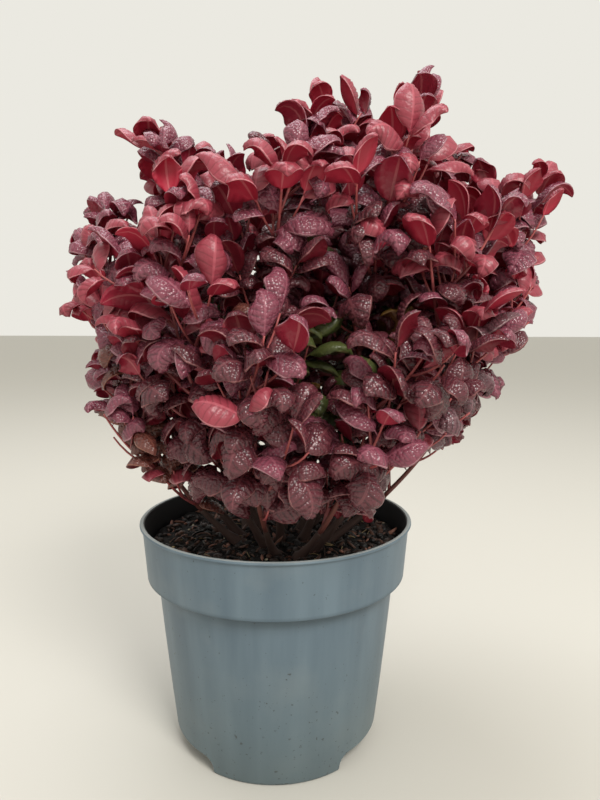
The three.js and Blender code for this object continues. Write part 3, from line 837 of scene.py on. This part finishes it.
def ringsAt(level, radius, steps):
    # steps are (above the level, out from the radius)
    return [(level + rise, radius + out) for rise, out in steps]


# up the outside from the foot to the rim, then down the inside to the floor, rounded at each edge
bandFoot = pot["height"] - pot["bandDepth"]
potRings = [
    *ringsAt(0, pot["foot"], [(0, -1.6), (0.6, -0.5), (1.8, 0.1)]),
    pot["lowerBody"],
    pot["upperBody"],
    *ringsAt(bandFoot, pot["neck"], [(-4.4, -0.1), (-2.6, 0.3), (-1.4, 1.6), (-0.6, 4.4)]),
    *ringsAt(bandFoot, pot["bandFoot"], [(-0.1, -0.9), (0.7, 0)]),
    (bandFoot + pot["bellyRise"], pot["bandBelly"]),
    *ringsAt(pot["height"], pot["bandTop"], [(-2.8, 0), (-2.2, 0.1)]),
    *ringsAt(pot["height"], pot["rim"], [(-1.8, -0.4), (-1.3, 0), (-0.6, -0.1), (-0.2, -0.5), (0, -1.1)]),
    *ringsAt(pot["height"], pot["bandTop"], [(-0.1, -0.8), (-0.8, -pot["wall"])]),
    (bandFoot + 3, pot["bandFoot"] - pot["wall"]),
    (bandFoot - 0.5, pot["neck"] - pot["wall"]),
    (pot["floor"], pot["floorRadius"]),
]
potPiece = turnedPiece("plant_pot", potRings, pot["around"])

# three recesses under the foot let the water out
recess = {
    "count": 3, "firstAzimuth": -30, "reach": (50, 84), "width": 60, "height": 11,
    "rounding": 7, "roundingSteps": 5,
}
for i in range(recess["count"]):
    azimuth = math.radians(recess["firstAzimuth"] + 360 / recess["count"] * i)
    inner, outer = recess["reach"]
    deselectAll()
    bpy.ops.mesh.primitive_cube_add(size=1, location=((inner + outer) / 2 * mm, 0, 0))
    cutter = bpy.context.object
    cutter.scale = ((outer - inner) * mm, recess["width"] * mm, 2 * recess["height"] * mm)
    bpy.ops.object.transform_apply(location=True, rotation=True, scale=True)
    cutter.rotation_euler = (0, 0, azimuth)
    bpy.ops.object.transform_apply(location=False, rotation=True, scale=False)
    rounding = cutter.modifiers.new("rounding", "BEVEL")
    rounding.width = recess["rounding"] * mm
    rounding.segments = recess["roundingSteps"]
    bpy.ops.object.modifier_apply(modifier="rounding")
    deselectAll()
    potPiece.select_set(True)
    bpy.context.view_layer.objects.active = potPiece
    cut = potPiece.modifiers.new("recess", "BOOLEAN")
    cut.operation = "DIFFERENCE"
    cut.solver = "EXACT"
    cut.object = cutter
    bpy.ops.object.modifier_apply(modifier="recess")
    bpy.data.objects.remove(cutter)

# polypropylene sheet: satin, a little streaked by water and scuffed by handling
potPlastic = bpy.data.materials.new("thermoformedPolypropylene")
potPlastic.use_nodes = True
tree = potPlastic.node_tree
shader = tree.nodes["Principled BSDF"]
place = addNode(tree, "ShaderNodeTexCoord").outputs["Object"]
long = addNode(tree, "ShaderNodeMapping", {"Scale": (60, 60, 5)}, [(place, "Vector")])
streaks = addNode(tree, "ShaderNodeTexNoise", {"Scale": 1.0, "Detail": 4.0}, [(long.outputs[0], "Vector")])
clouds = addNode(tree, "ShaderNodeTexNoise", {"Scale": 22.0, "Detail": 6.0}, [(place, "Vector")])
grit = addNode(tree, "ShaderNodeTexNoise", {"Scale": 420.0, "Detail": 2.0}, [(place, "Vector")])
tone = addRamp(tree, streaks.outputs["Fac"],
               [(0.36, linearFromHex("546571")), (0.66, linearFromHex("62737e"))])
dust = addRamp(tree, clouds.outputs["Fac"], [(0.5, grey(0)), (0.75, grey(0.35))])
dusty = addLayer(tree, dust, tone, "7d8688")
# dirt gathers towards the foot, as a grey-green film and as specks of compost
heights = addNode(tree, "ShaderNodeSeparateXYZ", None, [(place, "Vector")]).outputs["Z"]
film = addNode(tree, "ShaderNodeMapRange", {"From Max": 0.1, "To Min": 0.5, "To Max": 0.0},
               [(heights, "Value")])
more = addNode(tree, "ShaderNodeMapRange", {"From Max": 0.1, "To Min": 0.055, "To Max": 0.0},
               [(heights, "Value")])
filmed = addLayer(tree, film.outputs["Result"], dusty, "5a6664")
# painted shade under the band, standing in for the band's shadow on the body: millimetres above the band's
# foot, and how much of the painted shade
bandShadeStops = [(-9, 0), (-3.4, 0.4), (-2.6, 0.8), (-0.4, 0.8), (-0.2, 0)]
bandShadeRamp = addRamp(tree, heights, [((bandFoot + above) * mm, grey(amount)) for above, amount in bandShadeStops])
# the painted shade under the band is a dark grey-blue laid over the body's colour
bandShaded = addLayer(tree, bandShadeRamp, filmed, "36444b")
denser = addNode(tree, "ShaderNodeMath", {"operation": "SUBTRACT"},
                 [(grit.outputs["Fac"], 0), (more.outputs["Result"], 1)])
specks = addRamp(tree, denser.outputs["Value"], [(0.25, grey(0.7)), (0.29, grey(0))])
dotted = addLayer(tree, specks, bandShaded, "34342f")
tree.links.new(dotted, shader.inputs["Base Color"])
shader.inputs["Roughness"].default_value = 0.48
blackPlastic = plainMaterial("blackPolypropylene", "15161a", Roughness=0.5)
paintedRimHighlight = plainMaterial("paintedRimHighlight", "9aa2a2", Roughness=0.5)       # the rim's top edge is painted pale as a highlight
potPiece.data.materials.clear()
for material in (potPlastic, blackPlastic, paintedRimHighlight):
    potPiece.data.materials.append(material)
outsidePick, insidePick, rimHighlightPick = range(3)
for polygon in potPiece.data.polygons:
    x, y, z = polygon.center
    radius = math.hypot(x, y)
    outwards = (x * polygon.normal.x + y * polygon.normal.y) / max(radius, 1e-6)
    onFloor = polygon.normal.z > pot["facingUp"] and radius < pot["blackWithin"] * mm
    inner = z > pot["blackFrom"] * mm and (outwards < -pot["facingIn"] or onFloor)
    # faces on the rim's top edge take the painted highlight
    rimHighlighted = z > (pot["height"] - pot["highlightDepth"]) * mm and radius > (pot["bandTop"] - pot["highlightWidth"]) * mm
    polygon.material_index = rimHighlightPick if rimHighlighted else insidePick if inner else outsidePick
deselectAll()
potPiece.select_set(True)
bpy.context.view_layer.objects.active = potPiece
bpy.ops.object.shade_smooth_by_angle(angle=math.radians(pot["sharpAngle"]))
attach(potPiece, "root")
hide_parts("pot")
print("pot made")

# compost: damp peat with bark chips, straw and crumbs

# its relief is told by how close the lumps stand and how high they are, from broad to fine
compost = {
    "level": 140, "foot": (13.4, 70.2), "neck": 81, "edge": 88.6, "around": 96, "inward": 30,
    "raised": 0.6, "relief": [(0.05, 2.6), (0.16, 2.2), (0.5, 1.2)], "sag": 1.5, "sagPower": 6, "skin": 0.5,
}


def compostHeight(x, y):
    spot = Vector((x, y, 0))
    lumps = sum(noise.noise(spot * close) * high for close, high in compost["relief"])
    out = math.hypot(x, y) / compost["edge"]
    return compost["level"] + compost["raised"] + lumps - compost["sag"] * out ** compost["sagPower"]


level, edge = compost["level"], compost["edge"]
rings = [compost["foot"], (bandFoot - 1, compost["neck"]), (bandFoot + 4, edge - 0.5), (level, edge)]
rings += [(level, edge * (1 - (i + 1) / (compost["inward"] + 1))) for i in range(compost["inward"])]
compostPiece = turnedPiece("compost_bed", rings, compost["around"])
for vertex in compostPiece.data.vertices:
    if vertex.co.z > (level - compost["skin"]) * mm:
        vertex.co.z = compostHeight(vertex.co.x / mm, vertex.co.y / mm) * mm
compostPiece.data.materials.clear()
# the bed's near-black colour is partly damp peat and partly painted shade in the hollows between the crumbs
peatAndHollowShade = plainMaterial("dampPeatAndHollowShade", "0e0a08", Roughness=0.92)
compostPiece.data.materials.append(peatAndHollowShade)
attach(compostPiece, "root")
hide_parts("compost")

crumbs = {"spread": 86, "dent": 0.25, "dents": 3, "seed": 7717}
# three peats, two barks, straw, pale grit and moss
crumbColors = ["181110", "2c1e18", "0c0908", "54382c", "8a5e4e", "94805a", "c0b49c", "5a6632"]
barkColor, strawColor = 3, 5
crumbMaterials = [plainMaterial("crumb" + str(k), color, Roughness=0.55)
                  for k, color in enumerate(crumbColors)]
crumbPile = Pile()
draw = randomFrom(crumbs["seed"])
deselectAll()
bpy.ops.mesh.primitive_ico_sphere_add(subdivisions=1, radius=1)
ball = bpy.context.object
ballPoints = np.array([vertex.co[:] for vertex in ball.data.vertices])
ballFaces = [tuple(polygon.vertices) for polygon in ball.data.polygons]
bpy.data.objects.remove(ball)


def compostSpot():
    radius, turn = crumbs["spread"] * math.sqrt(draw()), 2 * math.pi * draw()
    x, y = radius * math.cos(turn), radius * math.sin(turn)
    return x, y, compostHeight(x, y)


def scattered(size, lift, tilt):
    # a squashed lump of that size, turned and tilted, lying on the compost
    x, y, z = compostSpot()
    turn, lean, roll = 2 * math.pi * draw(), around(draw, 0, tilt), around(draw, 0, tilt)
    c, s = math.cos(turn), math.sin(turn)
    dents = 1 + crumbs["dent"] * np.sin(ballPoints[:, [1, 2, 0]] * crumbs["dents"] + turn)
    lump = ballPoints * np.array(size) * dents
    lump = lump @ np.array([[1, 0, lean], [0, 1, roll], [-lean, -roll, 1]])
    return lump @ np.array([[c, s, 0], [-s, c, 0], [0, 0, 1]]) + (x, y, z + lift)


def sizeOf(kind):
    # small ones are the more common the higher the power
    return mix(*kind["sizes"], draw() ** kind["power"])


def drop(kind, shape, lift):
    points = scattered(shape, lift, kind["tilt"])
    firstColor, colors = kind["colors"]
    crumbPile.add(points, ballFaces, firstColor + int(draw() * colors))


clods = {"count": 260, "sizes": (2, 5.2), "power": 1.5, "tilt": 0.4, "colors": (0, 3),
         "wide": 0.8, "high": 0.55}
for i in range(clods["count"]):
    size = sizeOf(clods)
    drop(clods, (size, size * clods["wide"], size * clods["high"]), 0)

lumps = {"count": 800, "sizes": (0.6, 3.4), "power": 2, "tilt": 0.7, "colors": (0, 3.4),
         "wide": (0.4, 0.9), "high": 0.6, "lift": 0.3}
for i in range(lumps["count"]):
    size = sizeOf(lumps)
    wide = size * mix(*lumps["wide"], draw())
    drop(lumps, (size, wide, size * lumps["high"]), size * lumps["lift"])

chips = {"count": 300, "sizes": (1.6, 6), "power": 1.6, "tilt": 0.7, "colors": (3, 1.5),
         "wide": (0.2, 0.45), "thick": 0.8, "lift": 0.9}
for i in range(chips["count"]):
    size = sizeOf(chips)
    drop(chips, (size, size * mix(*chips["wide"], draw()), chips["thick"]), chips["lift"])

bits = {"count": 60, "sizes": (0.5, 1.4), "power": 1, "tilt": 0.4, "colors": (5, 2.2),
        "high": 0.6, "lift": 0.8}
for i in range(bits["count"]):
    size = sizeOf(bits)
    drop(bits, (size, size, size * bits["high"]), bits["lift"])

# pale straws first, then dark fibres
straws = {
    "count": 50, "lengths": (5, 17), "radius": 0.35, "paleShare": 0.7,
    "fibres": 320, "fibreLengths": (5, 12), "fibreRadii": (0.3, 0.8), "fibreColors": 4.6,
    "lift": 0.8, "inward": 0.86, "aside": 3, "arch": (1, 2), "parts": 5, "sides": 4,
}
for i in range(straws["count"] + straws["fibres"]):
    pale = i < straws["count"]
    x, y, z = compostSpot()
    turn, length = 2 * math.pi * draw(), mix(*straws["lengths" if pale else "fibreLengths"], draw())
    way = np.array([math.cos(turn), math.sin(turn), 0])
    start = np.array([x, y, z + straws["lift"]]) - way * length / 2
    start[:2] *= straws["inward"]
    aside, (least, above) = straws["aside"], straws["arch"]
    pull = np.array([around(draw, 0, aside), around(draw, 0, aside), least + above * draw()])
    straw = Line(start, start + way * length / 2 + pull, start + way * length)
    thick = straws["radius"] if pale else mix(*straws["fibreRadii"], draw())
    spots = straw.spread(0, 1, straws["parts"])
    points, faces = limbArrays(spots, [thick] * len(spots), straws["sides"])
    if pale:
        pick = strawColor if draw() < straws["paleShare"] else barkColor
    else:
        pick = int(draw() * straws["fibreColors"])
    crumbPile.add(points, faces, pick)
crumbsPiece = crumbPile.build("compost_crumbs", crumbMaterials)
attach(crumbsPiece, "root")
print("compost made")

# floor, light and camera

deselectAll()
bpy.ops.mesh.primitive_plane_add(size=30, location=(0, 0, 0))
floor = bpy.context.object
floor.name = "studio_floor"
floor.data.materials.append(plainMaterial("paleFloor", "c6c3bb", Roughness=0.8))

world = bpy.data.worlds.new("paleStudio")
world.use_nodes = True
world.node_tree.nodes["Background"].inputs["Color"].default_value = linearFromHex("ebe9e1")
world.node_tree.nodes["Background"].inputs["Strength"].default_value = 1.0
scene.world = world


def softLight(name, place, size, watts, color):
    data = bpy.data.lights.new(name, "AREA")
    data.size = size
    data.energy = watts
    data.color = linearFromHex(color)[:3]
    lamp = bpy.data.objects.new(name, data)
    scene.collection.objects.link(lamp)
    lamp.location = place
    plantMiddle = Vector((0, 0, 0.25))
    lamp.rotation_euler = (plantMiddle - Vector(place)).to_track_quat("-Z", "Y").to_euler()


softLight("windowLight", (0.5, -1.2, 1.45), 0.6, 24.5, "fffdf8")
softLight("skyLight", (-0.3, 0.4, 2.0), 1.2, 17, "f8faff")

# the camera fitted to the pot in the photograph: angles in degrees, focal length and height in its pixels
view = {
    "place": (0, -0.4451, 0.2909), "down": 6.76, "right": 2.12, "roll": -0.17,
    "focal": 640, "pixels": 800, "sensor": 36,
}
camera = bpy.data.objects.new("camera", bpy.data.cameras.new("camera"))
scene.collection.objects.link(camera)
camera.location = view["place"]
angles = (90 - view["down"], view["roll"], -view["right"])
camera.rotation_euler = [math.radians(angle) for angle in angles]
camera.data.sensor_width = view["sensor"]
camera.data.lens = view["focal"] * view["sensor"] / view["pixels"]
camera.data.clip_start = 0.01
camera.data.clip_end = 100
scene.camera = camera
scene.view_settings.view_transform = "Standard"
